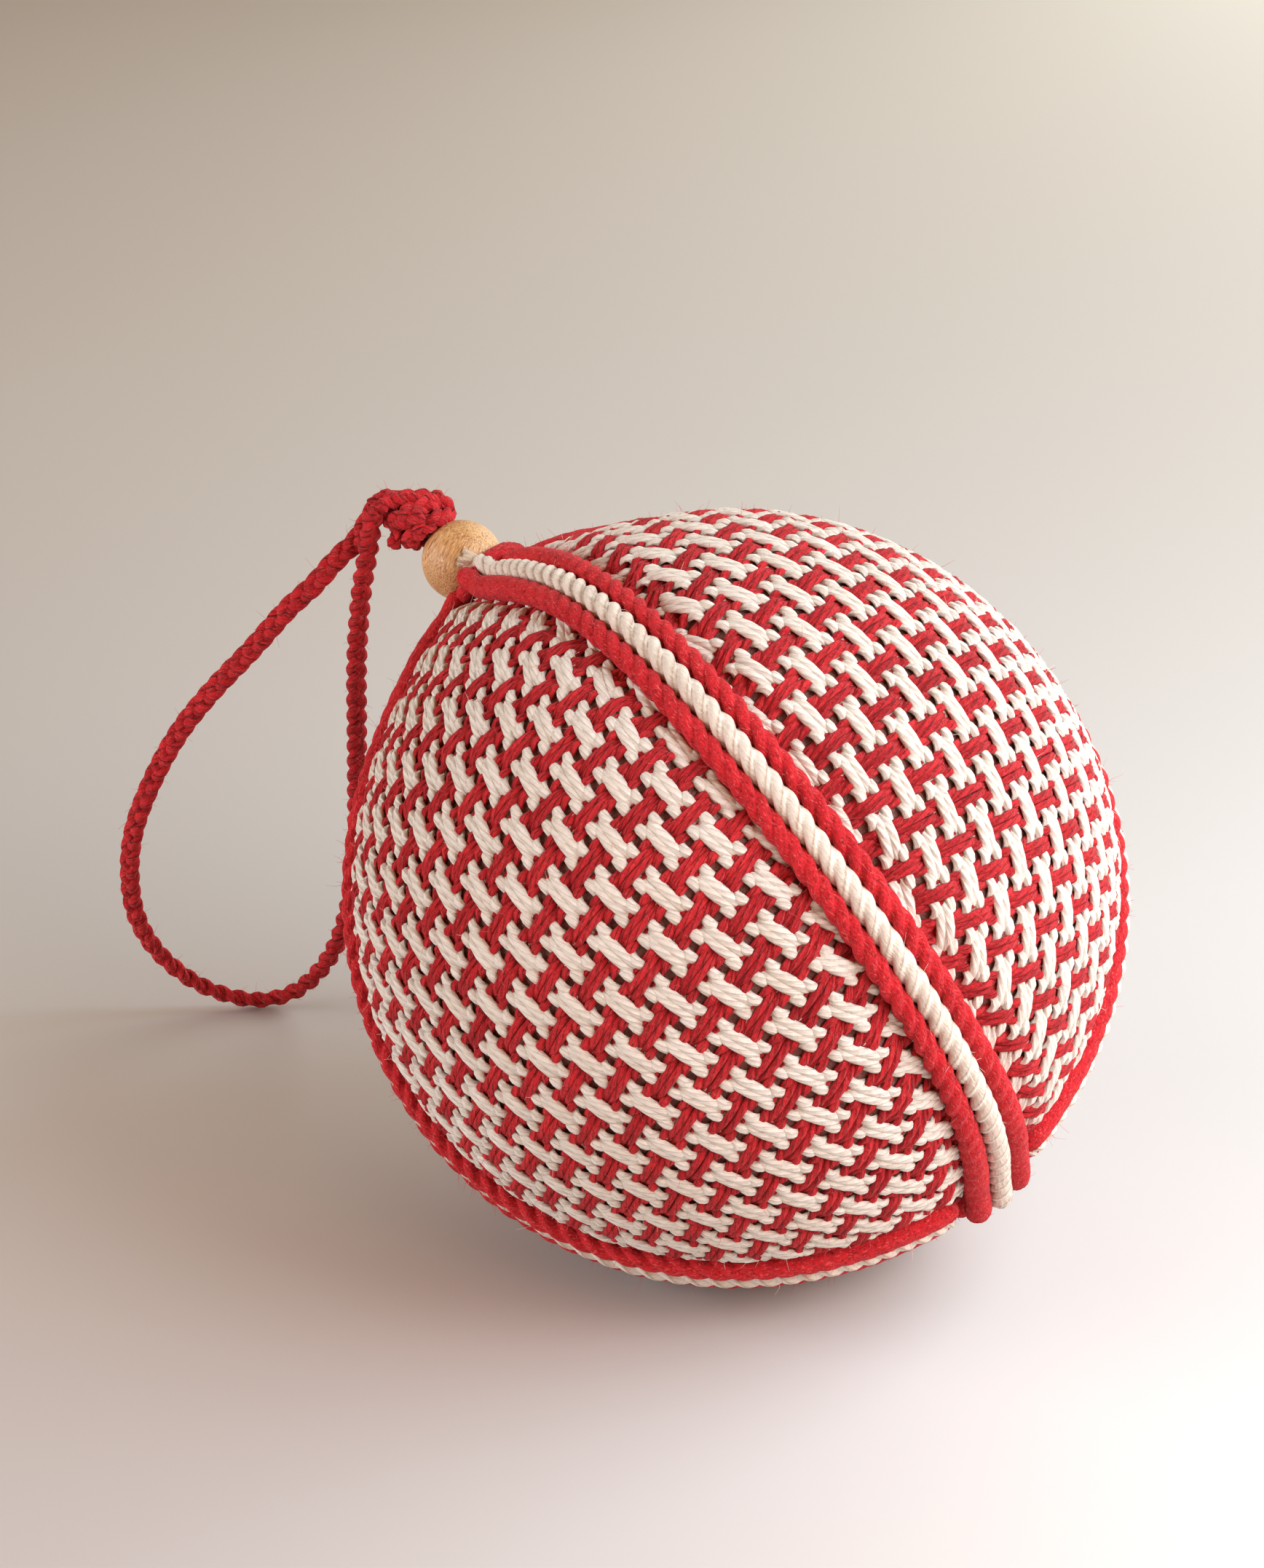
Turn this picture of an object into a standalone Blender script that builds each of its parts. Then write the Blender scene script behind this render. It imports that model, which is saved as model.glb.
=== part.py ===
"""A stuffed ball ornament of woven cloth: four filled panels from pole to pole, three twisted cords laid
on each seam, and a wooden bead, a knot and a hanging loop of plaited cord at the top pole.

It lies on its side. The origin is the middle of the flat spot it rests on, +Z is up, units are metres.
The ball's own pieces are modelled in millimetres in the ball's frame, with its poles on the local Z axis,
and hang on an empty that carries the scale, the lean and the place.
"""

import math

import bmesh
import bpy
from mathutils import Matrix, Vector

MM = 0.001

# The ball, in millimetres
CROWN_RADIUS = 49.0  # to the middle of a panel
TOP_TIP = 3.1  # the top pole is drawn out into a soft point
TOP_TIP_SPREAD = 17.0  # degrees from the pole
BOTTOM_TIP = 0.5
BOTTOM_TIP_SPREAD = 12.0
DRIFT = 2.0  # the seams meet this far off the axis at the bottom pole
DRIFT_SIDE = 133.0  # degrees, the angle about the axis that they drift towards
DRIFT_SPREAD = 32.0  # degrees
FLAT_DEPTH = 1.0  # pressed in where it rests
CENTRE_HEIGHT = CROWN_RADIUS - FLAT_DEPTH
GAP = 0.3  # between pieces that touch

# How the ball lies: the pole axis, from the bottom pole to the top one
AXIS_AZIMUTH = 142.3  # degrees, from +X towards +Y
AXIS_RISE = 38.2  # degrees above the floor

# The seams: angle about the pole axis from the level direction, how far a seam leans off its meridian
# between the equator and the top pole, and how far it bows at both poles, all in degrees
SEAMS = {
    "front": (56.6, 0.5, 3.0),
    "right": (144.3, 3.0, -3.0),
    "back": (231.3, 0.0, 0.0),
    "left": (320.5, -1.0, 5.0),
}
# Each panel lies between two seams
PANELS = {
    "panel_right": ("front", "right"),
    "panel_back": ("right", "back"),
    "panel_under": ("back", "left"),
    "panel_front": ("left", "front"),
}

# The cords on a seam
RED_RADIUS = 1.6
CREAM_RADIUS = 1.45
CORD_SPACING = RED_RADIUS + CREAM_RADIUS + GAP
RED_LINE = 48.9  # centre lines, from the ball's centre
CREAM_LINE = 49.2
CORD_STEP = 5.2  # degrees of polar angle between two rings
CORD_SIDES = 8
TOP_START = 5.8  # the cords start this far from the pole axis, against the bead
TOP_LIFT = 1.9  # and ride up its side
TOP_LIFT_SPREAD = 1.6  # degrees
END_SQUEEZE = 0.3  # share of its width that a cord loses as it is pulled in at the top pole
SQUEEZE_SPREAD = 6.0  # degrees
FRONT_OVERRUN = 0.6  # the front seam's cords run this far over the bottom pole
END_LIFT = 1.5  # where their ends stand up
END_LIFT_SPREAD = 5.0  # degrees
BUTT_DISTANCE = 7.4  # and the others butt against them

# The draw-in of a panel towards its seams
PANEL_DROP = 2.3
DROP_START = 4.7
DROP_END = 9.0
PANEL_ROWS = 28
MIDDLE_COLUMNS = 4
POLE_CUT = 5.2  # degrees from the pole where the panels end
CORE_CORNER = 1.9  # from the pole axis to a panel's inner edge
# Columns of a half panel: distance from the seam, and the most it may be as a share of the half width
COLUMNS = (
    (GAP / 2, 0.06),
    (DROP_START, 0.35),
    (6.6, 0.55),
    (DROP_END, 0.75),
)

# The bead, the knot and the loop
BEAD_RADIUS = 5.2
BEAD_BORE = 1.6
BEAD_HEIGHT = 56.8  # of its middle, along the pole axis
BEAD_SEGMENTS = 24
KNOT_SEGMENTS = 24
KNOT_SHIFT = 0.8  # the knot sits off the axis by this, towards KNOT_SIDE
KNOT_SIDE = 313.0  # degrees
WRAP_PITCH = 2.7  # one cord's width
WRAP_RELIEF = 0.42
# The knot's outline: height along the pole axis, radius, and shares of the wrap relief and of the shift
KNOT_OUTLINE = (
    (50.2, 0.9, 0.0, 0.0),
    (50.6, 1.15, 0.0, 0.0),
    (61.9, 1.15, 0.0, 0.0),
    (61.6, 2.9, 0.0, 0.3),
    (61.5, 3.5, 0.3, 0.5),
    (62.3, 4.0, 0.7, 0.8),
    (63.0, 4.2, 1.0, 1.0),
    (63.7, 4.3, 1.0, 1.0),
    (64.4, 4.3, 1.0, 1.0),
    (65.1, 4.3, 1.0, 1.0),
    (65.8, 4.2, 1.0, 1.0),
    (66.4, 3.95, 1.0, 1.0),
    (67.0, 3.5, 0.9, 1.0),
    (67.6, 2.9, 0.7, 1.0),
    (68.1, 2.2, 0.5, 1.0),
    (68.5, 1.4, 0.2, 1.0),
    (68.7, 0.5, 0.0, 1.0),
)
LOOP_RADIUS = 1.33
LOOP_STEP = 5.0
# The loop's route, in millimetres in the part's own frame: out of the knot, over its shoulder, down and
# round on the floor, and up again behind the ball
LOOP_ROUTE = (
    (-46.7, 32.9, 88.3),
    (-48.1, 34.3, 85.4),
    (-49.7, 35.1, 82.6),
    (-52.2, 35.2, 80.1),
    (-55.5, 36.2, 75.9),
    (-59.2, 37.1, 72.0),
    (-64.3, 39.0, 65.4),
    (-70.2, 41.1, 58.2),
    (-75.1, 43.5, 51.0),
    (-79.4, 46.4, 42.3),
    (-82.5, 49.2, 33.6),
    (-83.7, 51.8, 25.5),
    (-83.4, 54.4, 17.8),
    (-81.1, 56.5, 11.3),
    (-76.9, 58.2, 5.9),
    (-72.2, 59.2, 2.8),
    (-67.0, 59.7, 1.5),
    (-62.0, 59.2, 3.0),
    (-58.0, 57.9, 7.1),
    (-54.9, 55.8, 13.3),
    (-52.8, 53.1, 21.6),
    (-51.6, 50.0, 31.1),
    (-51.1, 46.5, 41.7),
    (-50.7, 43.1, 52.1),
    (-50.2, 39.2, 64.0),
    (-49.2, 35.5, 74.5),
    (-48.2, 33.1, 80.7),
    (-47.6, 31.4, 84.3),
    (-47.1, 29.8, 87.6),
    (-46.3, 29.0, 89.6),
)

RED = (0.55, 0.022, 0.03)
CREAM = (0.78, 0.72, 0.62)
CLOTH = (0.66, 0.38, 0.34)
WOOD = (0.62, 0.38, 0.17)


def clear_scene():
    for obj in list(bpy.data.objects):
        bpy.data.objects.remove(obj, do_unlink=True)


def make_material(name, colour, roughness):
    material = bpy.data.materials.new(name)
    material.use_nodes = True
    shader = material.node_tree.nodes["Principled BSDF"]
    shader.inputs["Base Color"].default_value = (*colour, 1.0)
    shader.inputs["Roughness"].default_value = roughness
    shader.inputs["Metallic"].default_value = 0.0
    return material


def make_object(name, bm, material, parent=None):
    bmesh.ops.recalc_face_normals(bm, faces=bm.faces)
    mesh = bpy.data.meshes.new(name)
    bm.to_mesh(mesh)
    bm.free()
    mesh.shade_smooth()
    mesh.set_sharp_from_angle(angle=math.radians(40))
    mesh.materials.append(material)
    obj = bpy.data.objects.new(name, mesh)
    obj.parent = parent
    bpy.context.collection.objects.link(obj)
    return obj


def ball_matrix():
    """The ball's frame: local X is level, local Z runs to the top pole."""
    azimuth = math.radians(AXIS_AZIMUTH)
    rise = math.radians(AXIS_RISE)
    axis = Vector((math.cos(rise) * math.cos(azimuth), math.cos(rise) * math.sin(azimuth), math.sin(rise)))
    level = Vector((0, 0, 1)).cross(axis).normalized()
    upper = axis.cross(level)
    turn = Matrix((level, upper, axis)).transposed().to_4x4()
    return Matrix.Translation((0, 0, CENTRE_HEIGHT * MM)) @ turn @ Matrix.Scale(MM, 4)


def smooth_step(value):
    t = min(1.0, max(0.0, value))
    return t * t * (3 - 2 * t)


def swell(distance, spread):
    """1 at no distance, falling away smoothly over the spread."""
    return math.exp(-((distance / spread) ** 2))


def tip(polar):
    """How far the ball reaches past its round at this polar angle, in degrees from the top pole."""
    return TOP_TIP * swell(polar, TOP_TIP_SPREAD) + BOTTOM_TIP * swell(180 - polar, BOTTOM_TIP_SPREAD)


def seam_angle(seam, polar):
    angle, lean, bow = SEAMS[seam]
    height = math.cos(math.radians(polar))
    return math.radians(angle + lean * height + bow * height * height)


def drift(polar):
    side = math.radians(DRIFT_SIDE)
    return DRIFT * swell(180 - polar, DRIFT_SPREAD) * Vector((math.cos(side), math.sin(side), 0))


def on_ball(radius, polar, angle):
    theta = math.radians(polar)
    across = radius * math.sin(theta)
    point = Vector((across * math.cos(angle), across * math.sin(angle), radius * math.cos(theta)))
    return (point + drift(polar)).normalized() * radius


# Panels


def panel_row(first, second, polar):
    """One row of a panel: its inner corner, then its outer skin from the first seam to the second."""
    start = seam_angle(first, polar)
    span = (seam_angle(second, polar) - start) % (2 * math.pi)
    reach = CROWN_RADIUS + tip(polar)
    across = reach * math.sin(math.radians(polar))
    half = across * span / 2
    offsets = [min(distance, share * half) for distance, share in COLUMNS]
    edge = offsets[-1]
    offsets += [edge + (half - edge) * step / MIDDLE_COLUMNS for step in range(1, MIDDLE_COLUMNS)]
    offsets += [half] + [2 * half - offset for offset in reversed(offsets)]
    skin = []
    for offset in offsets:
        from_seam = min(offset, 2 * half - offset)
        drop = PANEL_DROP * (1 - smooth_step((from_seam - DROP_START) / (DROP_END - DROP_START)))
        skin.append(on_ball(reach - drop, polar, start + offset / across))
    middle = start + span / 2
    height = skin[0].z
    corner = Vector((CORE_CORNER * math.cos(middle), CORE_CORNER * math.sin(middle), height))
    return [corner + drift(polar)] + skin


def make_panel(name, seams, material, parent, floor_normal):
    bm = bmesh.new()
    rows = []
    for row in range(PANEL_ROWS):
        polar = POLE_CUT + (180 - 2 * POLE_CUT) * row / (PANEL_ROWS - 1)
        rows.append([bm.verts.new(point) for point in panel_row(*seams, polar)])
    for upper, lower in zip(rows, rows[1:]):
        for i in range(len(upper)):
            j = (i + 1) % len(upper)
            bm.faces.new((upper[i], upper[j], lower[j], lower[i]))
    bm.faces.new(rows[0])
    bm.faces.new(rows[-1])
    bmesh.ops.recalc_face_normals(bm, faces=bm.faces)
    press_flat(bm, floor_normal)
    return make_object(name, bm, material, parent)


def press_flat(bm, floor_normal):
    """Cuts off what would be below the floor and closes the cut with one flat face."""
    point = floor_normal * CENTRE_HEIGHT
    lowest = max(vert.co.dot(floor_normal) for vert in bm.verts)
    if lowest <= CENTRE_HEIGHT:
        return
    everything = bm.verts[:] + bm.edges[:] + bm.faces[:]
    cut = bmesh.ops.bisect_plane(bm, geom=everything, plane_co=point, plane_no=floor_normal, clear_outer=True)
    rim = [item for item in cut["geom_cut"] if isinstance(item, bmesh.types.BMEdge)]
    bmesh.ops.edgenet_fill(bm, edges=rim)


# Cords on the seams


def cord_line(seam, offset, radius, line):
    """Centre line, outward directions and radii of one cord on a seam, from the top pole down."""
    start = math.degrees(math.asin(TOP_START / (line + TOP_TIP)))
    over_pole = seam == "front"
    end = 180 + math.degrees((FRONT_OVERRUN if over_pole else -BUTT_DISTANCE) / line)
    end_lift = END_LIFT if over_pole else 0.0
    count = round((end - start) / CORD_STEP)
    centres, radii = [], []
    for i in range(count + 1):
        polar = start + (end - start) * i / count
        squeeze = 1 - END_SQUEEZE * swell(polar - start, SQUEEZE_SPREAD)
        lift = TOP_LIFT * swell(polar - start, TOP_LIFT_SPREAD) + end_lift * swell(end - polar, END_LIFT_SPREAD)
        reach = line + tip(polar) + lift
        angle = seam_angle(seam, polar)
        point = on_ball(reach, polar, angle)
        sideways = Vector((-math.sin(angle), math.cos(angle), 0)) * offset * squeeze
        point = (point + sideways).normalized() * reach
        centres.append(point)
        radii.append(radius * squeeze)
    return round_ends(centres, radii)


def round_ends(centres, radii):
    """Adds two small rings at each end, so that the cord ends in a blunt round."""
    for index, inward in ((0, 1), (-1, -2)):
        end = centres[index]
        outward = (end - centres[inward]).normalized()
        radius = radii[index]
        caps = [(end + outward * radius * rise, radius * width) for rise, width in ((0.55, 0.83), (0.95, 0.35))]
        if index == 0:
            centres = [cap[0] for cap in reversed(caps)] + centres
            radii = [cap[1] for cap in reversed(caps)] + radii
        else:
            centres = centres + [cap[0] for cap in caps]
            radii = radii + [cap[1] for cap in caps]
    return centres, radii


def make_cord(name, centres, radii, material, parent):
    bm = bmesh.new()
    rings = []
    for i, (centre, radius) in enumerate(zip(centres, radii)):
        ahead = centres[min(i + 1, len(centres) - 1)] - centres[max(i - 1, 0)]
        tangent = ahead.normalized()
        side = tangent.cross(centre).normalized()
        outward = side.cross(tangent)
        ring = []
        for k in range(CORD_SIDES):
            turn = 2 * math.pi * k / CORD_SIDES
            ring.append(bm.verts.new(centre + (outward * math.cos(turn) + side * math.sin(turn)) * radius))
        rings.append(ring)
    join_rings(bm, rings)
    return make_object(name, bm, material, parent)


def join_rings(bm, rings):
    for near, far in zip(rings, rings[1:]):
        for k in range(len(near)):
            j = (k + 1) % len(near)
            bm.faces.new((near[k], near[j], far[j], far[k]))
    bm.faces.new(rings[0])
    bm.faces.new(rings[-1])


def make_trims(red, cream, parent):
    for seam in SEAMS:
        for side, offset in (("red_a", -CORD_SPACING), ("cream", 0.0), ("red_b", CORD_SPACING)):
            is_cream = side == "cream"
            radius = CREAM_RADIUS if is_cream else RED_RADIUS
            line = CREAM_LINE if is_cream else RED_LINE
            centres, radii = cord_line(seam, offset, radius, line)
            make_cord(f"trim_{seam}_{side}", centres, radii, cream if is_cream else red, parent)


# Bead, knot and loop


def make_bead(material, parent):
    """A turned bead with its bore on the pole axis."""
    rim = math.asin(BEAD_BORE / BEAD_RADIUS)
    steps = 10
    profile = []
    for i in range(steps + 1):
        angle = rim + (math.pi - 2 * rim) * i / steps
        profile.append((BEAD_RADIUS * math.sin(angle), BEAD_HEIGHT + BEAD_RADIUS * math.cos(angle)))
    bm = bmesh.new()
    verts = [bm.verts.new((radius, 0, height)) for radius, height in profile]
    edges = [bm.edges.new(pair) for pair in zip(verts, verts[1:] + verts[:1])]
    bmesh.ops.spin(
        bm,
        geom=verts + edges,
        cent=(0, 0, 0),
        axis=(0, 0, 1),
        angle=2 * math.pi,
        steps=BEAD_SEGMENTS,
        use_merge=True,
    )
    bmesh.ops.remove_doubles(bm, verts=bm.verts, dist=0.001)
    return make_object("bead", bm, material, parent)


def make_knot(material, parent):
    """The knot's turns of cord stand out as wraps that climb round it, and its stem fills the bore."""
    bm = bmesh.new()
    rings = []
    side = math.radians(KNOT_SIDE)
    for height, radius, relief, shifted in KNOT_OUTLINE:
        shift = KNOT_SHIFT * shifted
        middle = Vector((shift * math.cos(side), shift * math.sin(side), height))
        ring = []
        for k in range(KNOT_SEGMENTS):
            turn = 2 * math.pi * k / KNOT_SEGMENTS
            wrap = 2 * math.pi * height / WRAP_PITCH + turn
            reach = radius + WRAP_RELIEF * relief * (math.cos(wrap) + 0.5 * math.cos(3 * turn + 1))
            ring.append(bm.verts.new(middle + reach * Vector((math.cos(turn), math.sin(turn), 0))))
        rings.append(ring)
    join_rings(bm, rings)
    return make_object("knot", bm, material, parent)


def curve_point(before, start, end, after, t):
    """A point of the smooth curve between two route points."""
    return 0.5 * (
        2 * start
        + (end - before) * t
        + (2 * before - 5 * start + 4 * end - after) * t * t
        + (3 * start - before - 3 * end + after) * t**3
    )


def smooth_route(route, step):
    """Points at an even distance on the smooth curve through the route's points."""
    points = [Vector(point) for point in route]
    ends = [2 * points[0] - points[1]] + points + [2 * points[-1] - points[-2]]
    fine = []
    for i in range(len(points) - 1):
        fine += [curve_point(*ends[i : i + 4], t / 20) for t in range(20)]
    fine.append(points[-1])
    lengths = [0.0]
    for a, b in zip(fine, fine[1:]):
        lengths.append(lengths[-1] + (b - a).length)
    count = round(lengths[-1] / step)
    even, j = [], 0
    for i in range(count + 1):
        goal = lengths[-1] * i / count
        while j < len(fine) - 2 and lengths[j + 1] < goal:
            j += 1
        share = (goal - lengths[j]) / (lengths[j + 1] - lengths[j])
        even.append(fine[j].lerp(fine[j + 1], share))
    return even


def make_loop(material):
    points = smooth_route(LOOP_ROUTE, LOOP_STEP)
    curve = bpy.data.curves.new("hanging_loop", "CURVE")
    curve.dimensions = "3D"
    curve.bevel_depth = LOOP_RADIUS * MM
    curve.bevel_resolution = 2
    curve.use_fill_caps = True
    curve.materials.append(material)
    spline = curve.splines.new("POLY")
    spline.points.add(len(points) - 1)
    for place, point in zip(spline.points, points):
        place.co = (*(point * MM), 1)
    obj = bpy.data.objects.new("hanging_loop", curve)
    bpy.context.collection.objects.link(obj)
    return obj


def main():
    clear_scene()
    red = make_material("red_cord", RED, 0.95)
    cream = make_material("cream_cord", CREAM, 0.9)
    cloth = make_material("woven_cloth", CLOTH, 0.92)
    wood = make_material("bead_wood", WOOD, 0.5)

    frame = bpy.data.objects.new("ball_frame", None)
    frame.matrix_world = ball_matrix()
    bpy.context.collection.objects.link(frame)
    floor_normal = (frame.matrix_world.to_3x3().inverted() @ Vector((0, 0, -1))).normalized()

    for name, seams in PANELS.items():
        make_panel(name, seams, cloth, frame, floor_normal)
    make_trims(red, cream, frame)
    make_bead(wood, frame)
    make_knot(red, frame)
    make_loop(red)


main()
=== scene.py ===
import math

import bpy
import numpy as np
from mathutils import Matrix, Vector


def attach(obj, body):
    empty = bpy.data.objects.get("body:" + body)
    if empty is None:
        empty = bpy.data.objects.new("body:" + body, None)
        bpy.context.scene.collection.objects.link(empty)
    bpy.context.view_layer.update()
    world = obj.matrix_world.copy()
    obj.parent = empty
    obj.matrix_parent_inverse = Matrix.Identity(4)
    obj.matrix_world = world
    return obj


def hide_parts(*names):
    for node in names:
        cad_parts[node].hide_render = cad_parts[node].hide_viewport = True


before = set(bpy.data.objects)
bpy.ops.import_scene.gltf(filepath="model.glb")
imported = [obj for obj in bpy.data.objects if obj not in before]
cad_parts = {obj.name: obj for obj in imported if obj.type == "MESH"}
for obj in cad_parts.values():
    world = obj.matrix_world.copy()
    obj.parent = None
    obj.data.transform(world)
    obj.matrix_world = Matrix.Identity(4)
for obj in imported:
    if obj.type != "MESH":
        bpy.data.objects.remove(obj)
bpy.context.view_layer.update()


mm = 0.001  # the scene is in metres, the numbers below in millimetres where nothing else is said


def stage(words):
    print("stage:", words)


# Camera
cameraSettings = {  # in metres and degrees; the lens is 6420 pixels in a picture 2154 pixels high
    "place": (-0.01318, -0.53778, 0.31444), "tilt": 65.0, "sensor": 36, "lens": 6420 / 2154 * 36,
}


def makeCamera():
    data = bpy.data.cameras.new("camera")
    data.sensor_width = cameraSettings["sensor"]
    data.lens = cameraSettings["lens"]
    data.dof.use_dof = False
    camera = bpy.data.objects.new("camera", data)
    camera.location = cameraSettings["place"]
    camera.rotation_euler = (math.radians(cameraSettings["tilt"]), 0, 0)
    bpy.context.collection.objects.link(camera)
    bpy.context.scene.camera = camera


makeCamera()
stage("camera")


# The ball's own frame: x level, z along the pole axis, millimetres
ball = {
    "crown": 49.0,
    "topTip": 3.1, "topTipSpread": 17.0,  # drawn out at the bead
    "bottomTip": 0.5, "bottomTipSpread": 12.0,
    "drift": 2.0, "driftSide": 133.0, "driftSpread": 32.0,  # the seams meet beside the axis at the bottom
    "centreHeight": 48.0,
    "axisAzimuth": 142.3, "axisRise": 38.2,
    "pressLow": -2.6, "pressHigh": 1.6, "floorGap": 0.03, "floorLeast": 0.02,  # what lies low is pressed flat
}
seams = {  # angle at the middle, lean, bow
    "front": (56.6, 0.5, 3.0),
    "right": (144.3, 3.0, -3.0),
    "back": (231.3, 0.0, 0.0),
    "left": (320.5, -1.0, 5.0),
}


def ballAxes():
    turn, rise = math.radians(ball["axisAzimuth"]), math.radians(ball["axisRise"])
    axis = np.array((math.cos(rise) * math.cos(turn), math.cos(rise) * math.sin(turn), math.sin(rise)))
    level = np.cross((0, 0, 1), axis)
    level /= np.linalg.norm(level)
    return np.array((level, np.cross(axis, level), axis))


axes = ballAxes()
centre = np.array((0, 0, ball["centreHeight"]))


def toWorld(points):  # ball frame to scene, both in mm
    return points @ axes + centre


def toBall(points):
    return (points - centre) @ axes.T


def unit(v):
    return v / np.maximum(np.linalg.norm(v, axis=-1, keepdims=True), 1e-9)


def smoothStep(value):
    t = np.clip(value, 0, 1)
    return t * t * (3 - 2 * t)


def swell(distance, spread):
    return np.exp(-((distance / spread) ** 2))


def tip(polar):
    top = ball["topTip"] * swell(polar, ball["topTipSpread"])
    return top + ball["bottomTip"] * swell(180 - polar, ball["bottomTipSpread"])


def seamAngle(seam, polar):  # radians
    angle, lean, bow = seams[seam]
    h = np.cos(np.radians(polar))
    return np.radians(angle + lean * h + bow * h * h)


def drift(polar):
    side = math.radians(ball["driftSide"])
    size = ball["drift"] * swell(180 - polar, ball["driftSpread"])
    return size[..., None] * np.array((math.cos(side), math.sin(side), 0))


def onBall(reach, polar, angle):
    across = reach * np.sin(np.radians(polar))
    point = np.stack((across * np.cos(angle), across * np.sin(angle), reach * np.cos(np.radians(polar))), -1)
    return unit(point + drift(polar)) * reach[..., None]


def polarAngle(directions):  # of a place on the ball, with the drift taken out
    polar = np.degrees(np.arccos(np.clip(directions[..., 2], -1, 1)))
    back = unit(directions * ball["crown"] - drift(polar))
    polar = np.degrees(np.arccos(np.clip(back[..., 2], -1, 1)))
    return polar, np.arctan2(back[..., 1], back[..., 0])


def fromSeams(directions, first, second):  # mm from the nearer of a panel's two seams, below 0 outside
    polar, angle = polarAngle(directions)
    across = ball["crown"] * np.sin(np.radians(polar))
    half = ((seamAngle(second, polar) - seamAngle(first, polar)) % (2 * math.pi)) / 2
    middle = seamAngle(first, polar) + half
    off = np.abs((angle - middle + math.pi) % (2 * math.pi) - math.pi)
    return (half - off) * across


# Meshes from rings
class Rope:  # gathers swept tubes of quads into one closed mesh, with u in mm along and v round
    def __init__(self):
        self.points, self.quads, self.uvs, self.tone, self.count = [], [], [], [], 0

    def tube(self, rings, along, tone=0.5):  # rings: (n, k, 3) in mm, k even
        n, k = rings.shape[:2]
        i, j = np.meshgrid(np.arange(n - 1), np.arange(k), indexing="ij")
        i, j = i.ravel(), j.ravel()
        after = (j + 1) % k
        quads = np.stack((i * k + j, i * k + after, (i + 1) * k + after, (i + 1) * k + j), 1)
        uv = np.stack((np.stack((along[i], j / k), 1), np.stack((along[i], (j + 1) / k), 1),
                       np.stack((along[i + 1], (j + 1) / k), 1), np.stack((along[i + 1], j / k), 1)), 1)
        capUv, caps = [], []
        for start, flip, u in ((0, True, along[0]), ((n - 1) * k, False, along[-1])):
            for m in range(k // 2 - 1):
                corners = (m, m + 1, k - 2 - m, k - 1 - m)
                if flip:
                    corners = corners[::-1]
                caps.append([start + corner for corner in corners])
                capUv.append([(u, corner / k) for corner in corners])
        self.points.append(rings.reshape(-1, 3))
        self.quads.append(np.concatenate((quads, np.array(caps))) + self.count)
        self.uvs.append(np.concatenate((uv, np.array(capUv))))
        self.tone.append(np.full(n * k, tone))
        self.count += n * k

    def build(self, name, material, squash=True):
        points = toWorld(np.concatenate(self.points))
        if squash:
            points = pressFloor(points)
        uvs, tone = np.concatenate(self.uvs), np.concatenate(self.tone)
        return meshFromQuads(name, points, np.concatenate(self.quads), uvs, tone, material)


def pressFloor(points):  # the soft ball rests on a flat spot
    low, high, gap = ball["pressLow"], ball["pressHigh"], ball["floorGap"]
    z = points[:, 2]
    squeezed = gap + (z - low) / (high - low) * (high - gap)
    points[:, 2] = np.where(z < high, np.maximum(squeezed, ball["floorLeast"]), z)
    return points


def meshFromQuads(name, points, quads, uvs, tone, material):
    mesh = bpy.data.meshes.new(name)
    mesh.vertices.add(len(points))
    mesh.vertices.foreach_set("co", (points * mm).astype(np.float32).ravel())
    mesh.loops.add(quads.size)
    mesh.loops.foreach_set("vertex_index", quads.astype(np.int32).ravel())
    mesh.polygons.add(len(quads))
    mesh.polygons.foreach_set("loop_start", np.arange(0, quads.size, 4, dtype=np.int32))
    mesh.update(calc_edges=True)
    mesh.uv_layers.new(name="along").data.foreach_set("uv", uvs.astype(np.float32).ravel())
    mesh.attributes.new("tone", "FLOAT", "POINT").data.foreach_set("value", tone.astype(np.float32))
    mesh.shade_smooth()
    mesh.materials.append(material)
    obj = bpy.data.objects.new(name, mesh)
    bpy.context.collection.objects.link(obj)
    return obj


def sweep(centres, outward, section, twist=None):  # section (k, 2) or (n, k, 2): sideways and outward, mm
    ahead = unit(np.gradient(centres, axis=0))
    side = unit(np.cross(ahead, outward))
    out = np.cross(side, ahead)
    if section.ndim == 2:
        section = np.broadcast_to(section, (len(centres),) + section.shape)
    if twist is not None:
        c, s = np.cos(twist)[:, None], np.sin(twist)[:, None]
        wide, high = section[..., 0], section[..., 1]
        section = np.stack((wide * c - high * s, wide * s + high * c), -1)
    return centres[:, None] + section[..., :1] * side[:, None] + section[..., 1:] * out[:, None]


def awayFromEnds(place, last, start, spread):  # 1 in the middle of a cord, 0 at both its ends
    return smoothStep((place - start) / spread) * smoothStep((last - start - place) / spread)


def ellipse(count, wide, high):
    a = np.arange(count) / count * 2 * math.pi
    return np.stack((np.cos(a) * wide, np.sin(a) * high), 1)


# Shader building
class Wire:  # a socket that takes part in sums
    def __init__(self, finish, socket):
        self.finish, self.socket = finish, socket

    def sum(self, operation, *values):
        return self.finish.node("Math", {"operation": operation}, values)

    def __add__(self, other):
        return self.sum("ADD", self, other)

    def __sub__(self, other):
        return self.sum("SUBTRACT", self, other)

    def __rsub__(self, other):
        return self.sum("SUBTRACT", other, self)

    def __mul__(self, other):
        return self.sum("MULTIPLY", self, other)

    def __truediv__(self, other):
        return self.sum("DIVIDE", self, other)

    def __pow__(self, other):
        return self.sum("POWER", self, other)

    def __abs__(self):
        return self.sum("ABSOLUTE", self)

    def sine(self):
        return self.sum("SINE", self)

    def clamp(self, low=0.0, high=1.0):
        return self.sum("MINIMUM", self.sum("MAXIMUM", self, low), high)


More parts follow.
